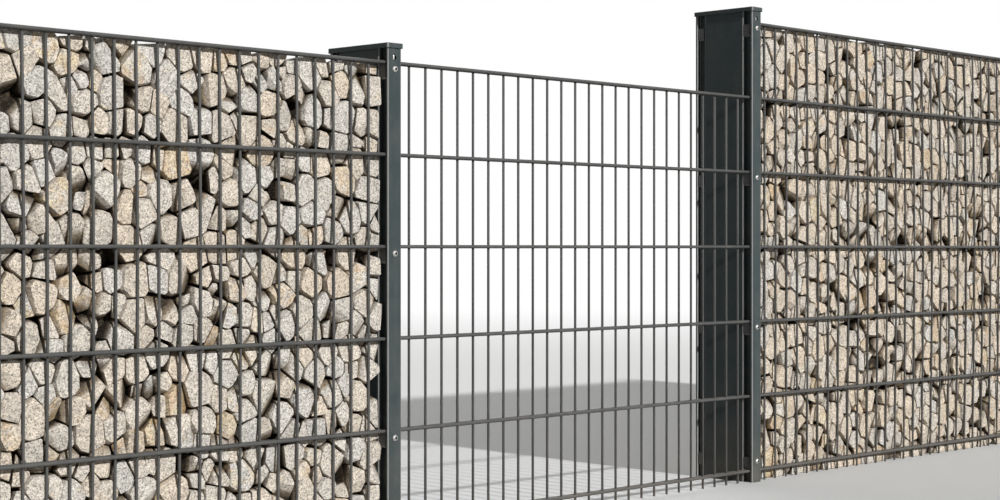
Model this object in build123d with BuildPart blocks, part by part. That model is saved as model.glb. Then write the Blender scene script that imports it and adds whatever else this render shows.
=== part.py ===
from build123d import *
import os
from math import sin

# Stone-filled mesh wall in three bays: a low gabion bay, an open bay with one mat and a high
# gabion bay, between four rolled steel posts. X runs along the wall to the right, Y from front
# to back and Z up. The origin is at ground level on the second post, in the middle of the
# sheet of its box's front wall.

# Mesh mats: single vertical wires between twin horizontal wires
vertical_pitch = 50.0
row_pitch = 200.0
vertical_wire = 6.0
horizontal_wire = 8.0
weld_sink = 0.5
spike_length = 30.0
low_rows = 6
high_rows = 7

# Bays, counted in vertical wires
long_bay_wires = 49
open_bay_wires = 25
post_to_wire = 60.0
post_to_mesh_end = 14.0

# Post section
sheet = 2.0
flange_width = 40.0
flange_depth = 8.0
flange_radius = 3.5
neck_width = 14.0
neck_radius = 1.5
box_width = 38.0
box_depth = 132.0
box_radius = 5.0
slot_play = 0.5

# Post cap
cap_overhang = 3.5
cap_height = 11.0
cap_sheet = 2.0
cap_radius = 5.0
cap_edge_radius = 1.5
cap_rise = 42.0

# Clamps that carry the mats, and their screws
clamp_height = 33.0
clamp_depth = 18.0
clamp_inset = 1.5
clamp_toe_radius = 7.0
clamp_play = 0.4
clamp_row_step = 2
bridge_height = 14.0
screw_below_top = 11.0
screw_hole = 8.5
thread_hole = 6.8
slot_hole_width = 10.0
slot_hole_height = 15.0
slot_hole_rise = 10.0

# Stone fill
fill_play = 0.5
fill_drop = 14.0
fill_lump = 12.0
fill_lump_length = 95.0

# Sizes that follow
twin_offset = (vertical_wire + horizontal_wire) / 2 - weld_sink
mesh_thickness = 2 * twin_offset + horizontal_wire
slot_width = mesh_thickness + 2 * slot_play
rail_depth = flange_depth + slot_width
post_depth = 2 * rail_depth + box_depth
front_face = -(rail_depth + sheet / 2)
back_face = front_face + post_depth
post_middle = front_face + post_depth / 2
mesh_inset = flange_depth + slot_width / 2
long_bay = (long_bay_wires - 1) * vertical_pitch + 2 * post_to_wire
open_bay = (open_bay_wires - 1) * vertical_pitch + 2 * post_to_wire
mesh_overrun = post_to_wire - post_to_mesh_end

posts = [
    ("post_1", -long_bay, low_rows),
    ("post_2", 0.0, low_rows),
    ("post_3", open_bay, high_rows),
    ("post_4", open_bay + long_bay, high_rows),
]


def row_height(row):
    """Height of a row of twin wires, counted from the bottom row."""
    return spike_length + row * row_pitch


def post_length(rows):
    """Length of a post above ground, up to the underside of its cap's plate."""
    return row_height(rows - 1) + cap_rise - cap_sheet


def clamp_tops(rows):
    """Heights of the clamps' tops: under every second row, and one that stands on the bottom row."""
    hanging = [row_height(row) - horizontal_wire / 2 for row in range(rows - 1, 0, -clamp_row_step)]
    standing = row_height(0) + horizontal_wire / 2 + clamp_height
    return [top for top in hanging if top - clamp_height > standing] + [standing]


def facing(x, z, front):
    """Plane on the outer face of a post at height z, looking out of the wall."""
    if front:
        return Plane((x, front_face, z), x_dir=(1, 0, 0), z_dir=(0, -1, 0))
    return Plane((x, back_face, z), x_dir=(-1, 0, 0), z_dir=(0, 1, 0))


def section(x, front):
    """Ground plane of a post whose Y axis runs from the outer face into the wall."""
    if front:
        return Plane((x, front_face, 0), x_dir=(1, 0, 0))
    return Plane((x, back_face, 0), x_dir=(-1, 0, 0))


def save(piece, label):
    """Name a finished piece and write its file."""
    piece.part.label = label
    export_step(piece.part, f"parts/{label}.step")


def make_box(name, x, rows):
    """Rolled box that stands between the mats."""
    with BuildPart() as box:
        with BuildSketch(Plane((x, post_middle, 0))):
            RectangleRounded(box_width, box_depth, box_radius)
            offset(amount=-sheet, mode=Mode.SUBTRACT)
        extrude(amount=post_length(rows))
    save(box, f"{name}_box")


def make_rail(name, x, rows, front):
    """Flat hollow flange on a hollow neck, with the neck's windows for the clamps."""
    with BuildPart() as rail:
        with BuildSketch(section(x, front)) as profile:
            with Locations((0, flange_depth / 2)):
                RectangleRounded(flange_width, flange_depth, flange_radius)
            with Locations((0, (rail_depth + flange_depth / 2) / 2)):
                Rectangle(neck_width, rail_depth - flange_depth / 2)
            neck_roots = profile.vertices().filter_by(
                lambda corner: abs(abs(corner.X) - neck_width / 2) < 0.01
                and abs(corner.Y - flange_depth) < 0.01
            )
            fillet(neck_roots, neck_radius)
            offset(amount=-sheet, mode=Mode.SUBTRACT)
        extrude(amount=post_length(rows))
        with BuildSketch(facing(x, row_height(rows - 1) + slot_hole_rise, front)):
            SlotOverall(slot_hole_height, slot_hole_width, rotation=90)
        extrude(amount=-flange_depth / 2, mode=Mode.SUBTRACT)
        for top in clamp_tops(rows):
            with BuildSketch(facing(x, top - screw_below_top, front)):
                Circle(screw_hole / 2)
            extrude(amount=-flange_depth / 2, mode=Mode.SUBTRACT)
            with BuildSketch(facing(x, top - screw_below_top, front).offset(-mesh_inset)):
                Rectangle(flange_width, bridge_height)
            extrude(
                amount=clamp_depth / 2 + clamp_play,
                both=True,
                mode=Mode.SUBTRACT,
            )
    save(rail, f"{name}_front_rail" if front else f"{name}_back_rail")


def make_cap(name, x, rows):
    """Pressed cap with a short skirt around the post's top."""
    skirt_bottom = post_length(rows) + cap_sheet - cap_height
    cap_width = flange_width + 2 * cap_overhang
    cap_depth = post_depth + 2 * cap_overhang
    with BuildPart() as cap:
        with BuildSketch(Plane((x, post_middle, skirt_bottom))):
            RectangleRounded(cap_width, cap_depth, cap_radius)
        extrude(amount=cap_height)
        fillet(cap.faces().sort_by(Axis.Z)[-1].edges(), cap_edge_radius)
        with BuildSketch(Plane((x, post_middle, skirt_bottom))):
            RectangleRounded(cap_width, cap_depth, cap_radius)
            offset(amount=-cap_sheet, mode=Mode.REPLACE)
        extrude(amount=cap_height - cap_sheet, mode=Mode.SUBTRACT)
    save(cap, f"{name}_cap")


def make_clamps(name, x, rows):
    """Clamps of one post, front and back: two cheeks in the slots and a bridge through the neck."""
    cheek_gap = neck_width + 2 * clamp_play
    clamp_width = flange_width - 2 * clamp_inset
    with BuildPart() as clamps:
        for front in (True, False):
            for top in clamp_tops(rows):
                with BuildSketch(facing(x, top - clamp_height / 2, front).offset(-mesh_inset)) as cheeks:
                    Rectangle(clamp_width, clamp_height)
                    fillet(cheeks.vertices().group_by(Axis.Y)[0], clamp_toe_radius)
                    with Locations((0, clamp_height / 2 - screw_below_top)):
                        Rectangle(cheek_gap, clamp_height * 2, mode=Mode.SUBTRACT)
                        Rectangle(clamp_width, bridge_height - clamp_play)
                        Circle(thread_hole / 2, mode=Mode.SUBTRACT)
                extrude(amount=clamp_depth / 2, both=True)
    save(clamps, f"{name}_clamps")


def make_mesh(label, first_wire, wires, rows, left_end, right_end, middle):
    """Flat mat: vertical wires with a twin wire welded across them in front and behind at each row."""
    top = row_height(rows - 1) + horizontal_wire / 2
    with BuildPart() as mesh:
        with Locations((first_wire + (wires - 1) * vertical_pitch / 2, middle, top / 2)):
            with GridLocations(vertical_pitch, vertical_pitch, wires, 1):
                Box(vertical_wire, vertical_wire, top)
        heights = [row_height(row) for row in range(rows)]
        sides = (middle - twin_offset, middle + twin_offset)
        with Locations([((left_end + right_end) / 2, y, z) for y in sides for z in heights]):
            Box(right_end - left_end, horizontal_wire, horizontal_wire)
    save(mesh, label)


def make_long_mesh(label, left_post, rows, middle):
    """Mat of a long bay, in two halves that meet end to end."""
    first_wire = left_post + post_to_wire
    half = long_bay_wires // 2 + 1
    joint = first_wire + (half - 0.5) * vertical_pitch
    left_end = first_wire - mesh_overrun
    right_end = first_wire + (long_bay_wires - 1) * vertical_pitch + mesh_overrun
    second_wire = first_wire + half * vertical_pitch
    make_mesh(f"{label}_a", first_wire, half, rows, left_end, joint, middle)
    make_mesh(f"{label}_b", second_wire, long_bay_wires - half, rows, joint, right_end, middle)


def make_fill(label, left_post, rows):
    """Stones between two mats, as one mass with an uneven top."""
    left = left_post + box_width / 2
    right = left_post + long_bay - box_width / 2
    level = row_height(rows - 1) - fill_drop
    front = front_face + mesh_inset + mesh_thickness / 2 + fill_play
    back = back_face - mesh_inset - mesh_thickness / 2 - fill_play
    lumps = round((right - left) / fill_lump_length)
    step = (right - left) / lumps
    crest = [(left + i * step, level + fill_lump * sin(2.3 * i + rows)) for i in range(lumps + 1)]
    with BuildPart() as fill:
        with BuildSketch(Plane.XZ.offset(-front)):
            with BuildLine():
                Polyline((right, 0), (left, 0), *crest, close=True)
            make_face()
        extrude(amount=front - back)
    save(fill, label)


os.makedirs("parts", exist_ok=True)

for post, post_x, post_rows in posts:
    make_box(post, post_x, post_rows)
    make_rail(post, post_x, post_rows, True)
    make_rail(post, post_x, post_rows, False)
    make_cap(post, post_x, post_rows)
    make_clamps(post, post_x, post_rows)

front_mesh = front_face + mesh_inset
back_mesh = back_face - mesh_inset
for bay, bay_start, bay_rows in (("left", -long_bay, low_rows), ("right", open_bay, high_rows)):
    make_long_mesh(f"front_mesh_{bay}", bay_start, bay_rows, front_mesh)
    make_long_mesh(f"back_mesh_{bay}", bay_start, bay_rows, back_mesh)
    make_fill(f"stone_fill_{bay}", bay_start, bay_rows)

make_mesh(
    "front_mesh_middle",
    post_to_wire,
    open_bay_wires,
    low_rows,
    post_to_mesh_end,
    open_bay - post_to_mesh_end,
    front_mesh,
)
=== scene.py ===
import itertools
import math
import random

import bmesh
import bpy
import numpy as np
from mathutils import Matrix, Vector
from mathutils.geometry import points_in_planes
from mathutils.kdtree import KDTree


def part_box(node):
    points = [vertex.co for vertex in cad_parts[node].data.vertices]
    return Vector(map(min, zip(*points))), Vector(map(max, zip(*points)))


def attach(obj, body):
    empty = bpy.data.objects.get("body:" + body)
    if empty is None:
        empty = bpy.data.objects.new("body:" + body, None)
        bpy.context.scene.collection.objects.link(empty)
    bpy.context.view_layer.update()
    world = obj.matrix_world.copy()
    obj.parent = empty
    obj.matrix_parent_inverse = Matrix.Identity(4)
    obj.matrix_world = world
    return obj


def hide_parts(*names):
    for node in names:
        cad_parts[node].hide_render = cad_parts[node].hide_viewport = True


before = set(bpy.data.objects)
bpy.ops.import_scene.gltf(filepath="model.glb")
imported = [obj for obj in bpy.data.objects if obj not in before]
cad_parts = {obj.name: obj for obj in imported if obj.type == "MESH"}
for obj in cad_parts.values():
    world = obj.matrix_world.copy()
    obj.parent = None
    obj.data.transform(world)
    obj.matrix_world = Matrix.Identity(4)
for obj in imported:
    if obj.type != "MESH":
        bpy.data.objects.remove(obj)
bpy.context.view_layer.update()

bl_info = {
    "name": "Gabion wall",
    "version": (1, 0, 0),
    "blender": (4, 5, 0),
    "location": "View3D > Sidebar > Gabion",
    "description": "Welded mats, crushed stone, screws and coatings for a gabion wall",
    "category": "Object",
}

# Places that come from the frame
POSTS = ("post_1", "post_2", "post_3", "post_4")
MATS = tuple(sorted(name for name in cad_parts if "_mesh_" in name))
FILLS = tuple(sorted(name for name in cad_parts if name.startswith("stone_fill")))
FILL_BOXES = [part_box(name) for name in FILLS]

# Upwards, and the steps from a cell of a grid to itself and its neighbours
UP = Vector((0.0, 0.0, 1.0))
STEPS = tuple(itertools.product((-1, 0, 1), repeat=3))

# Colours of dirt and specks on the coatings, of the painted highlight on their bends, and of dark
# and rusty grains in the granite
DUST = (0.28, 0.265, 0.24)
SPLASHED_MUD = (0.24, 0.20, 0.16)
SPECKS = (0.30, 0.28, 0.26)
# Painted highlight that the coatings' bends are lightened towards
PAINTED_BEND_HIGHLIGHT = (0.50, 0.50, 0.48)
MICA = (0.13, 0.12, 0.11)
OCHRE = (0.66, 0.53, 0.31)

# How beige the stones of each bay are, from 0 to 1
BAY_WARMTH = {"stone_fill_left": 0.40, "stone_fill_right": 0.68}

# Under 1, a pressed mat bows out fast beside its posts and is nearly flat between them
BOW_FULLNESS = 0.7


def bow_at(x, z, most):
    """How far the stone presses a mat outwards at a place along the wall and up it."""
    for low, high in FILL_BOXES:
        if low.x < x < high.x and 0.0 < z < high.z:
            across = math.sin(math.pi * (x - low.x) / (high.x - low.x)) ** BOW_FULLNESS
            return most * across * math.sin(math.pi * z / high.z)
    return 0.0


# Sizes and colours that a user would change


def metres(name, description, default):
    """Property that holds a length."""
    return bpy.props.FloatProperty(
        name=name, description=description, default=default, unit="LENGTH")


def linear_rgb(name, description, default):
    """Property that holds a colour."""
    return bpy.props.FloatVectorProperty(
        name=name, description=description, default=default, size=3, subtype="COLOR")


class GabionMats(bpy.types.PropertyGroup):
    """Welded twin-wire mats."""

    vertical_wire: metres("Vertical wire", "Thickness of the single vertical wires", 0.006)
    horizontal_wire: metres("Horizontal wire", "Thickness of the twin horizontal wires", 0.008)
    vertical_pitch: metres("Vertical pitch", "From one vertical wire to the next", 0.050)
    row_pitch: metres("Row pitch", "From one row of twin wires to the next", 0.200)
    bottom_row: metres("Bottom row", "Height of the bottom row's axis above the ground", 0.030)
    bow: metres("Bow", "How far the stone presses the middle of a mat outwards", 0.0078)
    sides: bpy.props.IntProperty(
        name="Sides", description="Facets around a wire", default=12, min=6)


class GabionStones(bpy.types.PropertyGroup):
    """Crushed granite between the mats."""

    large: metres("Large stone", "Radius of the largest stones", 0.0308)
    small: metres("Small stone", "Radius of the smallest chips", 0.0095)
    upright: bpy.props.FloatProperty(
        name="Upright", description="How much taller than wide the stones lie", default=1.12)
    joint: metres("Joint", "Narrowest gap between two stones", 0.0005)
    slack: metres("Slack", "Most that a joint opens beyond that", 0.0026)
    worn_edge: metres("Worn edge", "Width of the chipped edges", 0.0012)
    bulge: metres("Bulge", "How far stones lean out between two rows of wires", 0.0080)
    seed: bpy.props.IntProperty(
        name="Seed", description="Changes how the stones fall", default=7)


class GabionScrews(bpy.types.PropertyGroup):
    """Button-head screws that draw the clamps."""

    head: metres("Head", "Diameter of the head", 0.0150)
    rise: metres("Rise", "Height of the head", 0.0046)
    socket: metres("Socket", "Across the flats of the hexagon", 0.0058)
    below_top: metres("Below clamp top", "From a clamp's top down to its screw", 0.011)
    slot_rise: metres("Slot rise", "From the top clamp's top up to the slot's middle", 0.0160)


class GabionColours(bpy.types.PropertyGroup):
    """Colours of the finishes."""

    coating: linear_rgb("Post coating", "Powder coat on posts and caps", (0.053, 0.069, 0.071))
    wire_coating: linear_rgb("Wire coating", "Powder coat on the mats", (0.091, 0.092, 0.090))
    clamp_coating: linear_rgb("Clamp coating", "Powder coat on the clamps", (0.122, 0.127, 0.127))
    pale_stone: linear_rgb("Pale stone", "Light grey granite", (0.61, 0.580, 0.530))
    warm_stone: linear_rgb("Warm stone", "Beige granite", (0.66, 0.56, 0.44))
    rust: linear_rgb("Rust", "Iron stain on the stones", (0.55, 0.35, 0.16))


class GabionStage(bpy.types.PropertyGroup):
    """Floor, lamps and camera."""

    heading: bpy.props.FloatProperty(
        name="Heading", description="Camera's direction, from the wall's length towards its back",
        default=math.radians(43.934), subtype="ANGLE")
    camera: bpy.props.FloatVectorProperty(
        name="Camera", description="Camera's place, from the second post at ground level",
        default=(-2.763, -3.010, 0.628), size=3, subtype="TRANSLATION", unit="LENGTH")
    focal_pixels: bpy.props.FloatProperty(
        name="Focal length", description="In pixels of an image 1000 wide", default=1870.0)
    horizon_pixel: bpy.props.FloatProperty(
        name="Horizon", description="Image row of the horizon, of 500", default=247.6)


# Shader values that add up as Python expressions


class Value:
    """A shader socket; arithmetic on it adds Math nodes."""

    def __init__(self, tree, socket):
        self.tree = tree
        self.socket = socket

    def maths(self, operation, *values):
        """Add one Math node."""
        node = self.tree.nodes.new("ShaderNodeMath")
        node.operation = operation
        for place, value in zip(node.inputs, values):
            connect(self.tree, place, value)
        return Value(self.tree, node.outputs[0])

    def __add__(self, other):
        return self.maths("ADD", self, other)

    def __mul__(self, other):
        return self.maths("MULTIPLY", self, other)

    def __rsub__(self, other):
        return self.maths("SUBTRACT", other, self)

    def most(self, other):
        """The larger of two values."""
        return self.maths("MAXIMUM", self, other)


def connect(tree, place, value):
    """Link a shader value to an input, or set the input to a number or a colour."""
    if isinstance(value, Value):
        tree.links.new(value.socket, place)
    elif hasattr(value, "__len__") and len(value) == 3 and place.type == "RGBA":
        place.default_value = (*value, 1.0)
    else:
        place.default_value = value


class Finish:
    """The node tree of one material, or of a world."""

    def __init__(self, name, world=False):
        self.made = (bpy.data.worlds if world else bpy.data.materials).new(name)
        self.made.use_nodes = True
        self.tree = self.made.node_tree
        self.tree.nodes.clear()

    def node(self, kind, settings=None, values=None, output=0):
        """Add a node: its settings first, then its sockets' values or links; give one output."""
        node = self.tree.nodes.new(kind)
        for name, setting in (settings or {}).items():
            if name == "stops":
                self.set_stops(node.color_ramp, setting)
            elif name == "interpolation":
                node.color_ramp.interpolation = setting
            else:
                setattr(node, name, setting)
        for place, value in (values or {}).items():
            connect(self.tree, node.inputs[place], value)
        return Value(self.tree, node.outputs[output]) if node.outputs else None

    def set_stops(self, ramp, stops):
        """Give a colour ramp its stops, as pairs of a place and a grey or a colour."""
        while len(ramp.elements) < len(stops):
            ramp.elements.new(1.0)
        for element, (place, shade) in zip(ramp.elements, stops):
            element.position = place
            rgb = shade if hasattr(shade, "__len__") else (shade, shade, shade)
            element.color = (*rgb, 1.0)

    def place(self):
        """Where a point is on the object, in metres."""
        return self.node("ShaderNodeTexCoord", output=3)

    def noise(self, scale, detail=2.0, roughness=0.5, vector=None):
        """Soft noise between 0 and 1."""
        values = {"Scale": scale, "Detail": detail, "Roughness": roughness,
                  "Vector": vector or self.place()}
        return self.node("ShaderNodeTexNoise", values=values)

    def grains(self, scale, output="Color"):
        """Crystal grains: a random colour for each, or the distance from its middle."""
        values = {"Scale": scale, "Vector": self.place()}
        return self.node("ShaderNodeTexVoronoi", values=values, output=output)

    def ramp(self, factor, stops, interpolation="LINEAR"):
        """Turn a value into a grey or a colour by its stops."""
        settings = {"interpolation": interpolation, "stops": stops}
        return self.node("ShaderNodeValToRGB", settings, {"Fac": factor})

    def mix(self, factor, first, second, blend="MIX"):
        """Mix two colours. The node's colour sockets are numbers 6 and 7, its colour output 2."""
        settings = {"data_type": "RGBA", "blend_type": blend}
        return self.node("ShaderNodeMix", settings, {0: factor, 6: first, 7: second}, output=2)

    def tint(self, colour, shade):
        """Multiply a colour by another colour or grey."""
        return self.mix(1.0, colour, shade, "MULTIPLY")

    def bump(self, height, distance, strength=1.0, normal=None):
        """Raise the surface by a height between 0 and 1 times a distance in metres."""
        values = {"Height": height, "Distance": distance, "Strength": strength}
        if normal is not None:
            values["Normal"] = normal
        return self.node("ShaderNodeBump", values=values)

    def bends(self):
        """1 on rounded bends and edges, 0 on the flat faces of the posts; it masks the painted
        highlight on the bends.
        """
        normal = self.node("ShaderNodeVectorMath", {"operation": "ABSOLUTE"},
                           {0: self.node("ShaderNodeNewGeometry", output="Normal")})
        x, y, z = (self.node("ShaderNodeSeparateXYZ", values={0: normal}, output=part)
                   for part in range(3))
        return self.ramp(1 - x.most(y.most(z)), [(0.02, 0.0), (0.14, 1.0)])

    def channel(self, colour, name):
        """One channel of a colour."""
        return self.node("ShaderNodeSeparateColor", values={"Color": colour}, output=name)

    def close(self, **values):
        """End the tree in a Principled shader with these values."""
        named = {name.replace("_", " "): value for name, value in values.items()}
        shader = self.node("ShaderNodeBsdfPrincipled", values=named)
        self.node("ShaderNodeOutputMaterial", values={"Surface": shader})
        return self.made


# Finishes


def coating(name, colour, dustiness, bend_highlight=0.0):
    """Satin powder coat: orange peel, uneven dust, rain marks, splashes, specks, and a painted
    highlight along the bends.
    """
    finish = Finish(name)
    peel = finish.noise(scale=900.0, roughness=0.6)
    dust = finish.noise(scale=14.0, detail=5.0, roughness=0.62)
    stretch = finish.node("ShaderNodeVectorMath", {"operation": "MULTIPLY"},
                          {0: finish.place(), 1: (60.0, 60.0, 3.0)})
    runs = finish.noise(scale=1.0, detail=4.0, roughness=0.6, vector=stretch)
    height = finish.node("ShaderNodeSeparateXYZ", values={0: finish.place()}, output=2)
    splash = finish.ramp(height, [(0.0, 1.0), (0.10, 0.35), (0.30, 0.0)])
    veil = finish.ramp(dust * 0.6 + runs * 0.4, [(0.42, 0.0), (0.68, 1.0)])
    dusty = [0.5 * part + 0.5 * shade for part, shade in zip(colour, DUST)]
    tinted = finish.mix(veil * dustiness, colour, dusty)
    tinted = finish.mix(splash * dust * 0.55, tinted, SPLASHED_MUD)
    specks = finish.ramp(finish.noise(scale=420.0, detail=1.0), [(0.70, 0.0), (0.76, 1.0)])
    tinted = finish.mix(specks * 0.13, tinted, SPECKS)
    # Painted highlight along the bends, where light would glint
    tinted = finish.mix(finish.bends() * bend_highlight, tinted, PAINTED_BEND_HIGHLIGHT)
    return finish.close(
        Base_Color=tinted,
        Roughness=veil * 0.22 + 0.40,
        Specular_IOR_Level=0.10,
        Normal=finish.bump(peel, distance=0.00012, strength=0.35),
    )


def steel(name, bright, dull):
    """Tumbled steel with fine turning marks and a little grime."""
    finish = Finish(name)
    grime = finish.ramp(finish.noise(scale=300.0, detail=4.0), [(0.45, 0.0), (0.75, 1.0)])
    marks = finish.noise(scale=2600.0)
    return finish.close(
        Base_Color=finish.mix(grime * 0.45, bright, dull),
        Metallic=1.0,
        Roughness=grime * 0.25 + marks * 0.12 + 0.22,
        Normal=finish.bump(marks, distance=0.00005, strength=0.4),
    )


def granite(colours):
    """Crushed granite: feldspar, quartz and mica grains, a tone for each stone, and iron stain.

    The colour attribute "stone" holds each stone's tone, warmth and stain, and in its alpha how
    open it lies; painted shade darkens a stone the deeper it lies, warmed as if by light bounced
    between stones.
    """
    finish = Finish("crushed_granite")
    stone = finish.node("ShaderNodeVertexColor", {"layer_name": "stone"})
    tone = finish.channel(stone, "Red")
    warmth = finish.channel(stone, "Green")
    stain = finish.channel(stone, "Blue")
    body = finish.mix(warmth, colours.pale_stone, colours.warm_stone)
    body = finish.tint(body, finish.ramp(tone, [(0.0, 0.89), (0.5, 1.0), (1.0, 1.08)]))
    # Painted shade: the deeper a corner lies between other stones, the darker and warmer it is
    # painted
    openness = finish.node("ShaderNodeVertexColor", {"layer_name": "stone"}, output="Alpha")
    painted_shade_stops = [(0.46, (0.055, 0.043, 0.030)), (0.66, (0.36, 0.315, 0.255)), (0.79, (1.0, 1.0, 1.0))]
    body = finish.tint(body, finish.ramp(openness, painted_shade_stops))
    cloud = finish.noise(scale=38.0, detail=5.0, roughness=0.6)
    body = finish.tint(body, finish.ramp(cloud, [(0.30, 0.88), (0.70, 1.10)]))
    coarse = finish.channel(finish.grains(340.0), "Red")
    fine = finish.channel(finish.grains(620.0), "Green")
    grey_to_white = [(0.0, 0.44), (0.14, 0.66), (0.34, 0.92), (0.72, 1.06), (1.0, 1.34)]
    grain = finish.ramp(coarse, grey_to_white)
    body = finish.tint(body, grain)
    pepper = finish.ramp(fine, [(0.0, 1.0), (0.10, 0.0)], "CONSTANT")
    body = finish.mix(pepper * 0.75, body, MICA)
    patch = finish.noise(scale=46.0, detail=4.0, roughness=0.6)
    rusty = finish.ramp(patch * 0.95 + stain * 0.5, [(0.66, 0.0), (0.86, 1.0)])
    rust = finish.mix(finish.ramp(cloud, [(0.42, 0.0), (0.58, 1.0)]), colours.rust, OCHRE)
    body = finish.mix(rusty * 0.55, body, finish.tint(rust, grain))
    crystals = finish.grains(520.0, "Distance")
    crystal_bump = finish.bump(crystals, distance=0.0004, strength=0.4)
    broken = finish.noise(scale=110.0, detail=5.0, roughness=0.62)
    return finish.close(
        Base_Color=body,
        Roughness=fine * 0.2 + 0.72,
        Specular_IOR_Level=0.25,
        Normal=finish.bump(broken, distance=0.0028, strength=0.6, normal=crystal_bump),
    )


# Mesh tools


def turns(sides, start=0.0):
    """Angles evenly round a circle."""
    return [math.tau * (side + start) / sides for side in range(sides)]


def spokes(along, sides):
    """Unit vectors evenly round an axis."""
    across = along.orthogonal().normalized()
    aside = along.cross(across)
    return [across * math.cos(turn) + aside * math.sin(turn) for turn in turns(sides)]


def around(sides):
    """Each corner of a ring with the next one."""
    return [(side, (side + 1) % sides) for side in range(sides)]


class Shell:
    """Points and faces of a piece that is built up from many small closed forms."""

    def __init__(self):
        self.points = []
        self.faces = []
        self.tints = []

    def add(self, points, faces, tints=()):
        """Add a form whose faces count its own points from 0."""
        start = len(self.points)
        self.points.extend(points)
        self.faces.extend([tuple(start + corner for corner in face) for face in faces])
        self.tints.extend(tints)

    def skin(self, rings, start=None, end=None):
        """Join rings of points by faces, and close an end that is given a point."""
        sides = len(rings[0])
        steps = around(sides)
        points = [point for ring in rings for point in ring]
        last = len(points) - sides
        faces = [(base + side, base + after, base + sides + after, base + sides + side)
                 for base in range(0, last, sides) for side, after in steps]
        if start is not None:
            faces += [(len(points), after, side) for side, after in steps]
            points.append(start)
        if end is not None:
            faces += [(len(points), last + side, last + after) for side, after in steps]
            points.append(end)
        self.add(points, faces)

    def piece(self, name, material):
        """Make the mesh object, shaded smooth and riding on the wall."""
        mesh = bpy.data.meshes.new(name)
        mesh.from_pydata([tuple(point) for point in self.points], [], self.faces)
        if self.tints:
            layer = mesh.color_attributes.new("stone", "FLOAT_COLOR", "POINT")
            layer.data.foreach_set("color", np.array(self.tints, np.float32).ravel())
        mesh.polygons.foreach_set("use_smooth", [True] * len(mesh.polygons))
        mesh.materials.append(material)
        mesh.update()
        piece = bpy.data.objects.new(name, mesh)
        bpy.context.scene.collection.objects.link(piece)
        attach(piece, "root")
        return piece


def lengths(arrows, least):
    """Length of each arrow, as a column; a tiny least keeps it above 0."""
    return np.linalg.norm(arrows, axis=1, keepdims=True) + least


def flat_faced_normals(shell, mesh):
    """Let large faces set the shading of their corners, so that only the worn edges look round."""
    points = np.array([tuple(point) for point in shell.points])
    triangles = np.array(shell.faces)
    a, b, c = (points[triangles[:, side]] for side in range(3))
    cross = np.cross(b - a, c - a)
    cross *= lengths(cross, 1e-12)
    normals = np.zeros_like(points)
    for side in range(3):
        np.add.at(normals, triangles[:, side], cross)
    normals /= lengths(normals, 1e-20)
    mesh.normals_split_custom_set_from_vertices([tuple(normal) for normal in normals])


# Welded mats

# Share of a wire's radius that its end is dulled by, and the straight runs of a bowed twin wire
WIRE_END = 0.3
BOWED_RUNS = 8

# Facets of a weld bead, and its reach: in vertical wires, in horizontal wires, and in metres
WELD_SIDES = 8
WELD_ACROSS = 0.72
WELD_UP = 0.56
WELD_DEPTH = 0.0024

# Most that a mat ends short of the middle of its post, and least from a post to the first wire
MAT_TO_POST = 0.05


def wire(shell, path, radius, sides):
    """Round wire along a path that is nearly straight, with slightly dulled cut ends."""
    start, *between, end = path
    along = (end - start).normalized()
    ways = spokes(along, sides)
    dull = radius * WIRE_END
    places = [(start, radius - dull), (start + along * dull, radius)]
    places += [(place, radius) for place in between]
    places += [(end - along * dull, radius), (end, radius - dull)]
    shell.skin([[place + way * reach for way in ways] for place, reach in places], start, end)


def weld(shell, middle, across, up):
    """Flattened bead where two wires are welded and coated over."""
    ring = [middle + Vector((math.cos(turn) * across, 0.0, math.sin(turn) * up))
            for turn in turns(WELD_SIDES)]
    depth = Vector((0.0, WELD_DEPTH, 0.0))
    shell.skin([ring], middle + depth, middle - depth)


def make_mat(name, sizes, material):
    """Round wires and welds in place of one mat's square bars."""
    low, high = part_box(name)
    middle = (low.y + high.y) / 2
    outward = -1.0 if name.startswith("front") else 1.0
    twin = (high.y - low.y) / 2 - sizes.horizontal_wire / 2
    places = wire_places(low.x, high.x, sizes.vertical_pitch)
    rows = round((high.z - sizes.bottom_row) / sizes.row_pitch) + 1
    heights = [sizes.bottom_row + row * sizes.row_pitch for row in range(rows)]
    shell = Shell()

    def spot(x, y, z):
        return Vector((x, y + outward * bow_at(x, z, sizes.bow), z))

    for place in places:
        bowed = bow_at(place, heights[2], sizes.bow) > 0.0
        stops = [low.z, *heights[:-1], high.z] if bowed else [low.z, high.z]
        path = [spot(place, middle, height) for height in stops]
        wire(shell, path, sizes.vertical_wire / 2, sizes.sides)
    steps = [low.x + (high.x - low.x) * count / BOWED_RUNS for count in range(BOWED_RUNS + 1)]
    if name.endswith("middle"):
        steps = [low.x, high.x]
    for side in (-1, 1):
        for height in heights:
            path = [spot(step, middle + side * twin, height) for step in steps]
            wire(shell, path, sizes.horizontal_wire / 2, sizes.sides)
            for place in places:
                weld(shell, spot(place, middle + side * sizes.vertical_wire / 2, height),
                     sizes.vertical_wire * WELD_ACROSS, sizes.horizontal_wire * WELD_UP)
    piece = shell.piece(name.replace("_mesh_", "_mat_"), material)
    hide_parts(name)


def wire_places(low, high, pitch):
    """Places of a mat's vertical wires: each bay's wires lie evenly between its two posts."""
    caps = [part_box(post + "_cap") for post in POSTS]
    posts = [((cap_low + cap_high) / 2).x for cap_low, cap_high in caps]
    left = max(place for place in posts if place < low + MAT_TO_POST)
    right = min(place for place in posts if place > high - MAT_TO_POST)
    gaps = math.floor((right - left - 2 * MAT_TO_POST) / pitch)
    first = (left + right - gaps * pitch) / 2
    places = [first + count * pitch for count in range(gaps + 1)]
    return [place for place in places if low < place < high]


# Crushed stone

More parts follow.
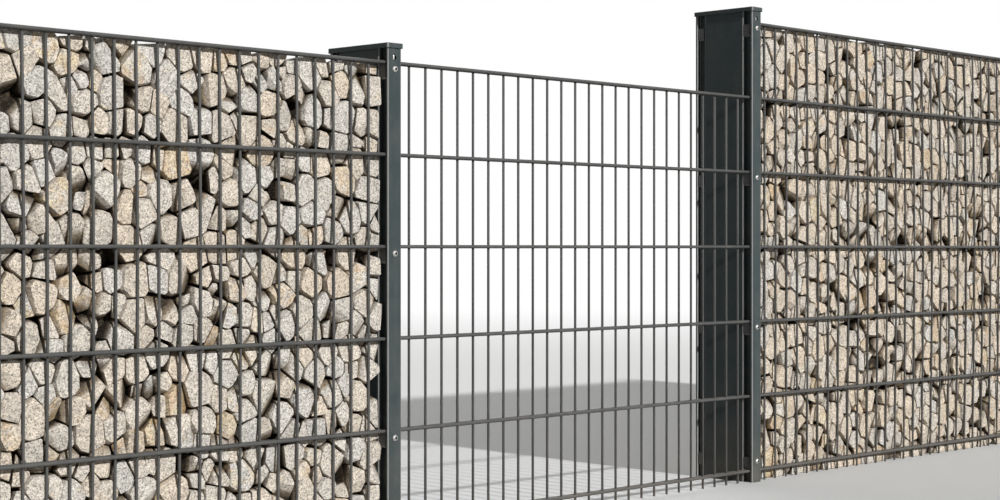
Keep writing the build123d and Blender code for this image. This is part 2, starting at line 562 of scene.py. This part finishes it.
# Stones of a layer against a mat, from the largest: a share of the large or the small radius, how
# near two may come as a share of their radii, and how many are thrown; then the same for the core
LAYER = (("large", 1.0, 0.70, 700), ("large", 0.80, 0.74, 2500), ("large", 0.60, 0.80, 5000),
         ("small", 1.35, 0.88, 4000), ("small", 1.0, 0.90, 2500))
CORE = (("large", 1.2, 0.80, 1500),)

# How a stone's radius varies, and how far it lies behind its mat as a share of that radius
SIZE_SPREAD = (0.85, 1.15)
SET_BACK = (0.50, 0.80)

# Room that stones' middles keep from posts, ground and top, and the core's, in radii, from a mat
POST_ROOM = 0.008
GROUND_ROOM = 0.012
TOP_ROOM = 0.006
CORE_ROOM = 1.6

# How far most stones and any stone may rise above the solid fill, the least height of a stone
# above the ground, and the most that one at a post keeps from it
CROWN = 0.005
HIGHEST = 0.006
LOWEST = 0.001
POST_GAP = 0.005

# Neighbours looked at for a stone, and how many of the nearest cut it
LOOKED_AT = 36
CUTTING = 20

# How much a stone's faces tilt: the last two are at the open top
TILT = {"joint": 0.09, "mat": 0.036, "post": 0.12, "break": 0.16, "top": 0.17, "top inside": 0.24}

# Radius under which a stone is a chip, the share of chips left out, and the most that the face
# of a chip and of a stone lie back
CHIP = 0.016
CHIPS_LEFT_OUT = 0.20
CHIP_BEHIND = 0.009
STONE_BEHIND = 0.003

# The open top: its depth, its border along a mat, the most that a stone in the border and inside
# is sunk, and how high in radii a stone's top face lies above its middle
TOP_LAYER = 0.045
TOP_BORDER = 0.034
SUNK = 0.014
SUNK_INSIDE = 0.030
TOP_FACE = (1.3, 2.2)

# Corners knocked off: how many at most, their share, how far out, the angle between two, and how
# flat they lie, so that they break the outline and not the face
CORNERS = 5
KNOCKED_OFF = 0.75
BREAK_AT = (0.84, 0.97)
BREAKS_APART = 0.5
FLATTENED = 0.3

# Slices off a face: the share of stones that have one, how far it leans, and how far out it lies
SLICED = 0.38
SLICE_LEAN = (0.35, 0.95)
SLICE_AT = (0.78, 0.98)

# Stones at a row of wires: their gap to it, the least height over which one leans out, the
# steepest lean, how much less it may be, and how near to the row a stone's middle doesn't lean
ROW_GAP = 0.001
LEAN_HEIGHT = 0.012
STEEPEST = 0.30
LEAN_SPREAD = (0.6, 1.0)
STRAIGHT = 0.005

# Worn edges: how their width varies, the radius from which it is full, how far corners are
# pulled in for it, and how many radii behind a mat and how far below the top edges stay sharp
WORN_SPREAD = (0.5, 1.3)
WORN_FULL = 0.022
WORN_PULL = 1.4
SHARP_BEHIND = 1.5
SHARP_BELOW = 0.09

# Fewest corners of a stone, the distance under which two are one, and how near a plane one lies
FEWEST_CORNERS = 6
SAME_CORNER = 0.0006
ON_PLANE = 2e-5

# Depth over which the painted shade between the stones deepens until no light is left
LIT_DEPTH = 0.040

# Middle and spread of the stones' tone, spread of their warmth, the shares of stones up to very
# rusty and rusty with their stain, and the most stain on the others
TONE = (0.55, 0.20)
WARMTH_SPREAD = 0.32
RUSTY = ((0.020, 0.76), (0.095, 0.54))
CLEAN = 0.32

# Pieces that a bay's stones are made in, so that none has too many triangles
PIECES = 4


def scatter(draw, low, high, classes):
    """Throw stones of falling size into a box; each class says how near two stones may come."""
    cell = 2.4 * classes[0][0]  # wider than the nearest that the two largest stones may come
    grid = {}
    stones = []
    for radius, nearness, tries in classes:
        for _ in range(tries):
            place = Vector([draw.uniform(*ends) for ends in zip(low, high)])
            size = radius * draw.uniform(*SIZE_SPREAD)
            key = tuple(int(part // cell) for part in place)
            if fits(grid, key, place, size, nearness):
                stones.append((place, size))
                grid.setdefault(key, []).append((place, size))
    return stones


def fits(grid, key, place, size, nearness):
    """Whether a stone of this size has room here."""
    for step in STEPS:
        beside = (key[0] + step[0], key[1] + step[1], key[2] + step[2])
        for other, other_size in grid.get(beside, ()):
            if (other - place).length < nearness * (size + other_size):
                return False
    return True


def any_way(draw):
    """Unit vector in any direction."""
    return Vector([draw.gauss(0, 1) for _ in range(3)]).normalized()


def tilted(normal, amount, draw):
    """A unit vector turned a little at random."""
    return (normal + any_way(draw) * amount).normalized()


def plane(normal, point):
    """The side of a plane that a stone keeps, as the four numbers that mathutils takes."""
    return Vector((*normal, -normal.dot(point)))


class Bay:
    """One bay's stones: where they lie, what holds them and how each is broken."""

    def __init__(self, name, sizes, mats):
        self.sizes = sizes
        self.draw = random.Random(sizes.seed * 100 + len(name))
        self.low, self.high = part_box(name)
        self.top = self.high.z + CROWN
        rows = math.ceil(self.high.z / mats.row_pitch)
        self.rows = [mats.bottom_row + row * mats.row_pitch for row in range(rows)]
        self.clear = mats.horizontal_wire / 2 + ROW_GAP
        self.bow = mats.bow
        self.stones = self.thrown()
        self.tree = KDTree(len(self.stones))
        for index, (place, _) in enumerate(self.stones):
            self.tree.insert(self.squat(place), index)
        self.tree.balance()

    def squat(self, place):
        """A place as it is before the stones are stretched upright."""
        return Vector((place.x, place.y, place.z / self.sizes.upright))

    def thrown(self):
        """Centres and radii of all stones: a hand-laid layer against each mat, and a loose core."""
        sizes = self.sizes
        layer, core = ([(getattr(sizes, kind) * share, nearness, tries)
                        for kind, share, nearness, tries in classes] for classes in (LAYER, CORE))
        low = self.squat(self.low + Vector((POST_ROOM, 0.0, GROUND_ROOM)))
        high = self.squat(Vector((self.high.x - POST_ROOM, self.high.y, self.top - TOP_ROOM)))
        found = []
        for outward, face in ((-1.0, low.y), (1.0, high.y)):
            flat_low = Vector((low.x, face, low.z))
            flat_high = Vector((high.x, face, high.z))
            for place, size in scatter(self.draw, flat_low, flat_high, layer):
                place.y -= outward * (size * self.draw.uniform(*SET_BACK))
                found.append((place, size))
        room = Vector((0.0, sizes.large * CORE_ROOM, 0.0))
        found += scatter(self.draw, low + room, high - room, core)
        upright = sizes.upright
        return [(Vector((place.x, place.y, place.z * upright)), size) for place, size in found]

    def joints(self, index):
        """Planes towards a stone's neighbours, each tilted and drawn back by its own amount."""
        place, size = self.stones[index]
        here = self.squat(place)
        draw = self.draw
        near = []
        for there, found, distance in self.tree.find_n(here, LOOKED_AT):
            if found != index:
                reach = (distance ** 2 + size ** 2 - self.stones[found][1] ** 2) / (2 * distance)
                near.append((reach, found, (there - here) / distance))
        gap = self.sizes.joint + draw.random() ** 3 * self.sizes.slack
        planes = []
        upright = self.sizes.upright
        for reach, _, away in sorted(near, key=lambda item: item[:2])[:CUTTING]:
            reach -= gap + draw.random() ** 2 * self.sizes.slack
            point = here + away * reach
            normal = tilted(Vector((away.x, away.y, away.z / upright)), TILT["joint"], draw)
            planes.append(plane(normal, Vector((point.x, point.y, point.z * upright))))
        return planes

    def faces(self, place):
        """Where the front and back mats hold the stones, at one stone's place."""
        bow = bow_at(place.x, place.z, self.bow)
        return ((-1.0, self.low.y - bow), (1.0, self.high.y + bow))

    def openness(self, corner):
        """1 at the mats and the open top, falling to 0 a little way into the wall; lower values get
        darker painted shade.
        """
        bow = bow_at(corner.x, corner.z, self.bow) + self.sizes.bulge
        front = corner.y - self.low.y + bow
        back = self.high.y + bow - corner.y
        depth = min(front, back, self.high.z - corner.z)
        return 1.0 - min(1.0, max(0.0, depth / LIT_DEPTH))

    def walls(self, place, size):
        """Planes of the mats, posts, ground and open top as they cut one stone, none quite flat."""
        draw = self.draw
        bulge = self.sizes.bulge
        chip = size < CHIP
        hidden = draw.random() * CHIP_BEHIND if chip else draw.random() ** 3 * STONE_BEHIND
        planes = []
        for outward, face in self.faces(place):
            out = Vector((0.0, outward, 0.0))
            near = Vector((place.x, face + outward * (bulge - hidden), place.z))
            planes.append(plane(tilted(out, TILT["mat"], draw), near))
            planes.append(plane(out, Vector((0.0, face + outward * bulge, 0.0))))
        for outward, face in ((-1.0, self.low.x), (1.0, self.high.x)):
            near = Vector((face - outward * draw.uniform(0.0, POST_GAP), place.y, place.z))
            planes.append(plane(tilted(Vector((outward, 0.0, 0.0)), TILT["post"], draw), near))
        planes.append(plane(-UP, Vector((0.0, 0.0, LOWEST))))
        if place.z > self.top - TOP_LAYER:
            inside = min(place.y - self.low.y, self.high.y - place.y) > TOP_BORDER
            sunk = SUNK_INSIDE * draw.random() if inside else SUNK * draw.random() ** 3
            crown = min(self.top - sunk, place.z + size * draw.uniform(*TOP_FACE))
            lie = tilted(UP, TILT["top inside" if inside else "top"], draw)
            planes.append(plane(lie, Vector((place.x, place.y, crown))))
        planes.append(plane(UP, Vector((0.0, 0.0, self.high.z + HIGHEST))))
        return planes

    def breaks(self, points, place, size):
        """Planes that knock a stone's corners off, and now and then a slice off its face."""
        draw = self.draw
        outward = -1.0 if place.y < (self.low.y + self.high.y) / 2 else 1.0
        corners = [point - place for point in points if (point - place).y * outward > 0.0]
        corners.sort(key=lambda away: -away.length_squared)
        taken = []
        planes = []
        for away in corners:
            flat = Vector((away.x, away.y * FLATTENED, away.z))
            if any(flat.angle(other) < BREAKS_APART for other in taken):
                continue
            taken.append(flat)
            if draw.random() < KNOCKED_OFF:
                share = draw.uniform(*BREAK_AT)
                normal = tilted(flat.normalized(), TILT["break"], draw)
                planes.append(plane(normal, place + away * share))
            if len(taken) == CORNERS:
                break
        if draw.random() < SLICED:
            turn = draw.uniform(0.0, math.tau)
            lean = draw.uniform(*SLICE_LEAN)
            way = Vector((math.cos(turn) * lean, outward, math.sin(turn) * lean)).normalized()
            planes.append(plane(way, place + way * size * draw.uniform(*SLICE_AT)))
        return planes

    def laid_against(self, row, place, heights):
        """Planes of a stone behind a row's inner wire: above or below it the stone leans out."""
        side = 1.0 if place.z > row else -1.0
        reach = max(side * (height - row) for height in heights) - self.clear
        reach = max(LEAN_HEIGHT, reach)
        lean = side * min(STEEPEST, self.sizes.bulge / reach) * self.draw.uniform(*LEAN_SPREAD)
        if abs(place.z - row) < STRAIGHT:
            lean = 0.0
        planes = []
        for outward, face in self.faces(place):
            edge = Vector((place.x, face, row + side * self.clear))
            planes.append(plane(Vector((0.0, outward, -lean)).normalized(), edge))
        return planes

    def form(self, index):
        """Corner points of one broken stone."""
        place, size = self.stones[index]
        planes = self.joints(index) + self.walls(place, size)
        points, _ = points_in_planes(planes)
        if len(points) < FEWEST_CORNERS:
            return None
        planes += self.breaks(points, place, size)
        heights = [point.z for point in points]
        for row in self.rows:
            if min(heights) - self.clear < row < max(heights) + self.clear:
                planes += self.laid_against(row, place, heights)
                break
        points, _ = points_in_planes(planes)
        if len(points) < FEWEST_CORNERS:
            return None
        depth = min(place.y - self.low.y, self.high.y - place.y)
        if depth > SHARP_BEHIND * size and place.z < self.top - SHARP_BELOW:
            return points
        spread = self.draw.uniform(*WORN_SPREAD)
        edge = self.sizes.worn_edge * spread * min(1.0, size / WORN_FULL)
        return worn(points, planes, edge)


def worn(points, planes, edge):
    """Pull each face's corners inwards, so that the hull of them all has narrow worn edges."""
    places = np.array([tuple(point) for point in points])
    cuts = np.array([tuple(cut) for cut in planes])
    on_plane = np.abs(places @ cuts[:, :3].T + cuts[:, 3]) < ON_PLANE
    pulled = []
    for column in range(len(planes)):
        corners = places[on_plane[:, column]]
        if len(corners) < 3:
            continue
        inward = corners.mean(axis=0) - corners
        share = np.minimum(0.5, edge * WORN_PULL / lengths(inward, 1e-9))  # halfway in at most
        pulled.extend(corners + inward * share)
    return pulled


def hull(points):
    """Triangles of the convex hull of some points."""
    form = bmesh.new()
    for point in points:
        form.verts.new(point)
    bmesh.ops.remove_doubles(form, verts=form.verts, dist=SAME_CORNER)
    found = bmesh.ops.convex_hull(form, input=form.verts)
    inside = [item for item in found["geom_interior"] + found["geom_unused"]
              if isinstance(item, bmesh.types.BMVert)]
    bmesh.ops.delete(form, geom=list(set(inside)), context="VERTS")
    bmesh.ops.recalc_face_normals(form, faces=form.faces)
    form.verts.index_update()
    corners = [vertex.co.copy() for vertex in form.verts]
    faces = [tuple(vertex.index for vertex in face.verts) for face in form.faces]
    form.free()
    return corners, faces


def stone_tint(draw, beige):
    """A stone's tone, warmth and iron stain, each from 0 to 1."""
    tone = min(1.0, max(0.0, draw.gauss(*TONE)))
    warmth = min(1.0, max(0.0, draw.gauss(beige, WARMTH_SPREAD)))
    chance = draw.random()
    for share, stain in RUSTY:
        if chance < share:
            return (tone, warmth, stain)
    return (tone, warmth, draw.uniform(0.0, CLEAN))


def fill_bay(name, sizes, mats, material):
    """Loose stones in place of one bay's solid fill, in pieces under the limit of triangles."""
    bay = Bay(name, sizes, mats)
    shells = [Shell() for _ in range(PIECES)]
    for index, (place, size) in enumerate(bay.stones):
        form = bay.form(index)
        tint = stone_tint(bay.draw, BAY_WARMTH[name])
        if form is None or (size < CHIP and bay.draw.random() < CHIPS_LEFT_OUT):
            continue
        corners, faces = hull(form)
        part = int(PIECES * (place.x - bay.low.x) / (bay.high.x - bay.low.x))
        # Each corner's alpha is how open it lies, which sets its painted shade
        tints = [(*tint, bay.openness(corner)) for corner in corners]
        shells[min(PIECES - 1, part)].add(corners, faces, tints)
    for count, shell in enumerate(shells, 1):
        piece = shell.piece(f"{name.replace('stone_fill', 'stones')}_{count}", material)
        flat_faced_normals(shell, piece.data)
        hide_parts(name)


# Screws

# Facets of a screw, the depth of its shank, and the shank's radius and the socket's floor as
# shares of the head's radius and rise
SCREW_SIDES = 36
SHANK_DEPTH = 0.004
SHANK = 0.52
SOCKET_FLOOR = 0.10

# Outline of a screw's head from the flange to its socket, as shares of its radius and rise
HEAD = ((0.97, 0.0), (1.0, 0.10), (0.97, 0.34), (0.86, 0.66), (0.62, 0.94), (0.5766, 1.0))

# Plated strip behind each slot: its sizes, how far behind the flange's face it lies, the facets
# of its outline, and its rounded edge as shares of its width and depths
STRIP_WIDTH = 0.0050
STRIP_HEIGHT = 0.0140
STRIP_DEPTH = 0.0024
STRIP_SIDES = 16
STRIP_EDGE = ((0.86, 0.0), (1.0, -0.0004), (1.0, -0.0012), (0.86, -0.0016))

# Least from a clamp's top to the next clamp's bottom, and more than between a clamp's own corners
CLAMP_GAP = 0.02


def screw(shell, sockets, middle, outward, sizes):
    """Button head on a short shank through the flange, and the walls of its hexagon socket in their
    own shell, for the socket's painted shade.
    """
    radius = sizes.head / 2
    ways = spokes(outward, SCREW_SIDES)
    profile = [(radius * SHANK, -SHANK_DEPTH), (radius * SHANK, 0.0)]
    profile += [(radius * share, sizes.rise * height) for share, height in HEAD]
    rings = [[middle + outward * height + way * reach for way in ways] for reach, height in profile]
    shell.skin(rings, start=middle - outward * SHANK_DEPTH)
    socket = []
    for turn, way in zip(turns(SCREW_SIDES), ways):
        sector = (turn + math.pi / 6) % (math.pi / 3) - math.pi / 6
        socket.append(way * (sizes.socket / 2 / math.cos(sector)))
    mouth = [middle + outward * sizes.rise + spoke for spoke in socket]
    floor = [middle + outward * sizes.rise * SOCKET_FLOOR + spoke for spoke in socket]
    shell.skin([rings[-1], mouth])
    sockets.skin([mouth, floor], end=middle)


def strip(shell, middle, outward):
    """Edge of the plated strip that shows in a slot: a narrow plate with rounded ends."""
    aside = UP.cross(outward)
    points = []
    for share, depth in STRIP_EDGE:
        for turn in turns(STRIP_SIDES, 0.5):
            end = math.copysign((STRIP_HEIGHT - STRIP_WIDTH) / 2, math.sin(turn))
            across = aside * (math.cos(turn) * STRIP_WIDTH / 2 * share)
            up = UP * (end + math.sin(turn) * STRIP_WIDTH / 2 * share)
            points.append(middle + outward * depth + across + up)
    rings = [range(start, start + STRIP_SIDES) for start in range(0, len(points), STRIP_SIDES)]
    faces = [tuple(rings[0]), tuple(reversed(rings[-1]))]
    for front, behind in zip(rings, rings[1:]):
        for side, after in around(STRIP_SIDES):
            faces.append((front[side], behind[side], behind[after], front[after]))
    shell.add(points, faces)


def clamp_tops(post):
    """Heights of the tops of a post's clamps, read from its node."""
    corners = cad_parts[post + "_clamps"].data.vertices
    heights = sorted({round(corner.co.z, 4) for corner in corners})
    return [height for height, above in zip(heights, [*heights[1:], math.inf])
            if above - height >= CLAMP_GAP]


# Stage

# The photograph's frame, in pixels
IMAGE_WIDTH = 1000.0
IMAGE_HEIGHT = 500.0

# Half the floor's width, from where to where it fades to white, its colours as it is seen, and
# the darker one that it throws light back with
FLOOR_REACH = 60.0
FADE_START = 5.0
FADE_END = 16.0
FLOOR = (0.80, 0.80, 0.79)
FLOOR_GRAIN = (0.74, 0.74, 0.73)
FLOOR_UNSEEN = (0.32, 0.31, 0.30)

# The sun on the front and the wide soft light on the back: the direction towards each, its
# strength and how wide it seems in degrees; then the even light from all round
SUN = ((-0.08, -0.90, 0.44), 3.45, 2.0)
SOFT_BACK_LIGHT = ((0.45, 0.80, 0.40), 1.5, 50.0)
AMBIENT = 0.10


def pale_floor():
    """Pale floor that takes the wall's shadow, fades to white and throws little light back."""
    finish = Finish("pale_floor")
    away = finish.node("ShaderNodeVectorMath", {"operation": "LENGTH"}, {0: finish.place()},
                       output=1)
    seen = background_rays(finish)
    grain = finish.noise(scale=6.0, detail=4.0)
    shade = finish.mix(seen, FLOOR_UNSEEN, finish.mix(grain * 0.25, FLOOR, FLOOR_GRAIN))
    near = finish.node("ShaderNodeBsdfPrincipled", values={"Base Color": shade, "Roughness": 0.9})
    white = finish.node("ShaderNodeEmission", values={"Color": (1.0, 1.0, 1.0), "Strength": 1.0})
    far = finish.node("ShaderNodeMapRange", {"interpolation_type": "SMOOTHSTEP"},
                      {"Value": away, "From Min": FADE_START, "From Max": FADE_END})
    both = finish.node("ShaderNodeMixShader", values={0: far * seen, 1: near, 2: white})
    finish.node("ShaderNodeOutputMaterial", values={"Surface": both})
    return finish.made


def background_rays(finish):
    """1 for rays that show the background: from the camera, off gloss or through glass."""
    camera, gloss, glass = (finish.node("ShaderNodeLightPath", output=f"Is {kind} Ray")
                            for kind in ("Camera", "Glossy", "Transmission"))
    return camera.most(gloss).most(glass)


def white_world():
    """Even soft light, with a background of plain white."""
    finish = Finish("studio", world=True)
    strength = background_rays(finish) * (1.0 - AMBIENT) + AMBIENT
    sky = finish.node("ShaderNodeBackground",
                      values={"Color": (1.0, 1.0, 1.0), "Strength": strength})
    finish.node("ShaderNodeOutputWorld", values={"Surface": sky})
    bpy.context.scene.world = finish.made


def add_sun(name, towards, strength, spread):
    """Distant lamp that shines from a direction."""
    lamp = bpy.data.lights.new(name, "SUN")
    lamp.energy = strength
    lamp.angle = math.radians(spread)
    holder = bpy.data.objects.new(name, lamp)
    holder.rotation_euler = Vector(towards).to_track_quat("Z", "Y").to_euler()
    bpy.context.scene.collection.objects.link(holder)


# Operators


class GABION_OT_coatings(bpy.types.Operator):
    """Coat posts, caps and clamps"""

    bl_idname = "gabion.coatings"
    bl_label = "Coat posts and caps"

    def execute(self, context):
        colours = context.scene.gabion_colours
        # The painted highlight on the bends is stronger on posts and caps than on clamps
        post = coating("post_coating", colours.coating, dustiness=0.30, bend_highlight=0.65)
        cast = coating("clamp_coating", colours.clamp_coating, dustiness=0.20, bend_highlight=0.25)
        for name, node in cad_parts.items():
            if name.startswith("post_"):
                node.data.materials.clear()
                node.data.materials.append(cast if name.endswith("clamps") else post)
        return {"FINISHED"}


class GABION_OT_mats(bpy.types.Operator):
    """Weld the twin-wire mats"""

    bl_idname = "gabion.mats"
    bl_label = "Weld the mats"

    def execute(self, context):
        scene = context.scene
        material = coating("mesh_coating", scene.gabion_colours.wire_coating, dustiness=0.35)
        for name in MATS:
            make_mat(name, scene.gabion_mats, material)
        return {"FINISHED"}


class GABION_OT_stones(bpy.types.Operator):
    """Fill the bays with crushed stone"""

    bl_idname = "gabion.stones"
    bl_label = "Fill the bays with stone"

    def execute(self, context):
        scene = context.scene
        material = granite(scene.gabion_colours)
        for name in FILLS:
            fill_bay(name, scene.gabion_stones, scene.gabion_mats, material)
        return {"FINISHED"}


class GABION_OT_screws(bpy.types.Operator):
    """Put the screws in the posts"""

    bl_idname = "gabion.screws"
    bl_label = "Put in the screws"

    def execute(self, context):
        sizes = context.scene.gabion_screws
        finishes = {
            "screws": steel("stainless_screw", (0.62, 0.61, 0.59), (0.30, 0.27, 0.23)),
            # The sockets' near-black steel is painted shade, where the hole would be dark
            "screw_sockets": steel("socket_painted_shade", (0.035, 0.034, 0.033), (0.02, 0.018, 0.016)),
            "slot_strips": steel("plated_strip", (0.86, 0.86, 0.84), (0.66, 0.65, 0.62)),
        }
        for post in POSTS:
            screws, sockets, strips = shells = [Shell() for _ in finishes]
            for rail, outward in (("_front_rail", -1.0), ("_back_rail", 1.0)):
                low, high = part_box(post + rail)
                face = low.y if outward < 0 else high.y
                across = (low.x + high.x) / 2
                out = Vector((0.0, outward, 0.0))
                tops = clamp_tops(post)
                for top in tops:
                    middle = Vector((across, face, top - sizes.below_top))
                    screw(screws, sockets, middle, out, sizes)
                height = tops[-1] + sizes.slot_rise
                strip(strips, Vector((across, face - outward * STRIP_DEPTH, height)), out)
            for shell, (ending, material) in zip(shells, finishes.items()):
                piece = shell.piece(f"{post}_{ending}", material)
        return {"FINISHED"}


class GABION_OT_stage(bpy.types.Operator):
    """Set the floor, the lamps and the camera"""

    bl_idname = "gabion.stage"
    bl_label = "Set the stage"

    def execute(self, context):
        scene = context.scene
        stage = scene.gabion_stage
        floor_mesh = bpy.data.meshes.new("floor")
        far = FLOOR_REACH
        corners = [(-far, -far, 0), (far, -far, 0), (far, far, 0), (-far, far, 0)]
        floor_mesh.from_pydata(corners, [], [(0, 1, 2, 3)])
        floor_mesh.materials.append(pale_floor())
        floor = bpy.data.objects.new("floor", floor_mesh)
        scene.collection.objects.link(floor)
        white_world()
        add_sun("key", *SUN)
        add_sun("fill", *SOFT_BACK_LIGHT)
        camera = bpy.data.cameras.new("photo_view")
        camera.sensor_width = 36.0
        camera.lens = stage.focal_pixels * camera.sensor_width / IMAGE_WIDTH
        camera.shift_y = (stage.horizon_pixel - IMAGE_HEIGHT / 2) / IMAGE_WIDTH
        camera.clip_end = 200.0
        holder = bpy.data.objects.new("photo_view", camera)
        holder.location = stage.camera
        forward = Vector((math.cos(stage.heading), math.sin(stage.heading), 0.0))
        holder.rotation_euler = forward.to_track_quat("-Z", "Y").to_euler()
        scene.collection.objects.link(holder)
        scene.camera = holder
        scene.view_settings.view_transform = "Standard"
        return {"FINISHED"}


class GABION_PT_wall(bpy.types.Panel):
    """Gabion wall tools"""

    bl_label = "Gabion wall"
    bl_space_type = "VIEW_3D"
    bl_region_type = "UI"
    bl_category = "Gabion"

    def draw(self, context):
        for step in OPERATORS:
            self.layout.operator(step.bl_idname)


GROUPS = {
    "gabion_mats": GabionMats,
    "gabion_stones": GabionStones,
    "gabion_screws": GabionScrews,
    "gabion_colours": GabionColours,
    "gabion_stage": GabionStage,
}
OPERATORS = (GABION_OT_stage, GABION_OT_coatings, GABION_OT_mats, GABION_OT_stones,
             GABION_OT_screws)


def register():
    for name, group in GROUPS.items():
        bpy.utils.register_class(group)
        setattr(bpy.types.Scene, name, bpy.props.PointerProperty(type=group))
    for item in OPERATORS + (GABION_PT_wall,):
        bpy.utils.register_class(item)


def unregister():
    for item in OPERATORS + (GABION_PT_wall,):
        bpy.utils.unregister_class(item)
    for name, group in GROUPS.items():
        delattr(bpy.types.Scene, name)
        bpy.utils.unregister_class(group)


def main():
    register()
    bpy.ops.gabion.stage()
    bpy.ops.gabion.coatings()
    bpy.ops.gabion.mats()
    bpy.ops.gabion.stones()
    bpy.ops.gabion.screws()


if __name__ == "__main__":
    main()
